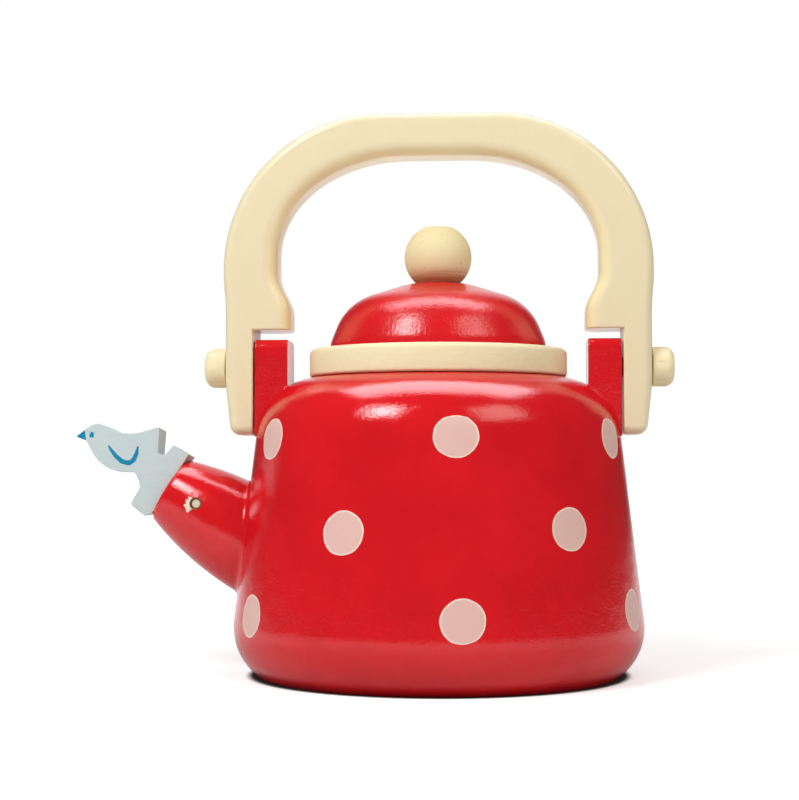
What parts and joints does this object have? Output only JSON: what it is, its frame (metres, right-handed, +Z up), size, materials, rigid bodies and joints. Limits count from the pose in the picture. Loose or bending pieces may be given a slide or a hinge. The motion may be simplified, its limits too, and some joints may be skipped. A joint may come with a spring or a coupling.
{
  "type": "toy kettle",
  "caption": "Toy stove-top kettle in painted wood with a swinging arched handle, a lift-out domed lid with a ball knob, and a bird whistle on its spout.",
  "frame": {"origin": "centre of the round foot, on the surface that the kettle stands on", "axes": "+Z up along the turned body, -X along the spout, handle and pegs in the XZ plane"},
  "size_m": [0.1849, 0.126, 0.1727],
  "materials": {
    "red_paint": "gloss paint on wood",
    "cream_paint": "satin paint on wood",
    "blue_paint": "satin paint on wood",
    "bare_wood": "sanded and lacquered",
    "steel": "plain cut wire"
  },
  "bodies": {
    "kettle": {"body": "red_paint", "spout": "red_paint", "spout_dowel": "bare_wood", "left_ear": "red_paint", "right_ear": "red_paint", "left_ear_dowels": "bare_wood", "right_ear_dowels": "bare_wood", "left_peg": "bare_wood", "right_peg": "bare_wood", "bird_whistle": "blue_paint", "bird_dowel": "bare_wood", "lock_pin": "steel"},
    "handle": {"handle": "cream_paint"},
    "lid": {"lid_flange": "bare_wood", "lid_dome": "red_paint", "lid_plug": "bare_wood", "lid_knob": "bare_wood", "lid_dowel": "bare_wood"}
  },
  "joints": [
    {"name": "handle_swing", "type": "hinge", "parent": "kettle", "child": "handle", "pos_m": [0, 0, 0.0945], "axis": [1, 0, 0], "range_deg": [-70, 70]},
    {"name": "lid_lift", "type": "slide", "parent": "kettle", "child": "lid", "axis": [0, 0, 1], "range_m": [0, 0.018]}
  ]
}
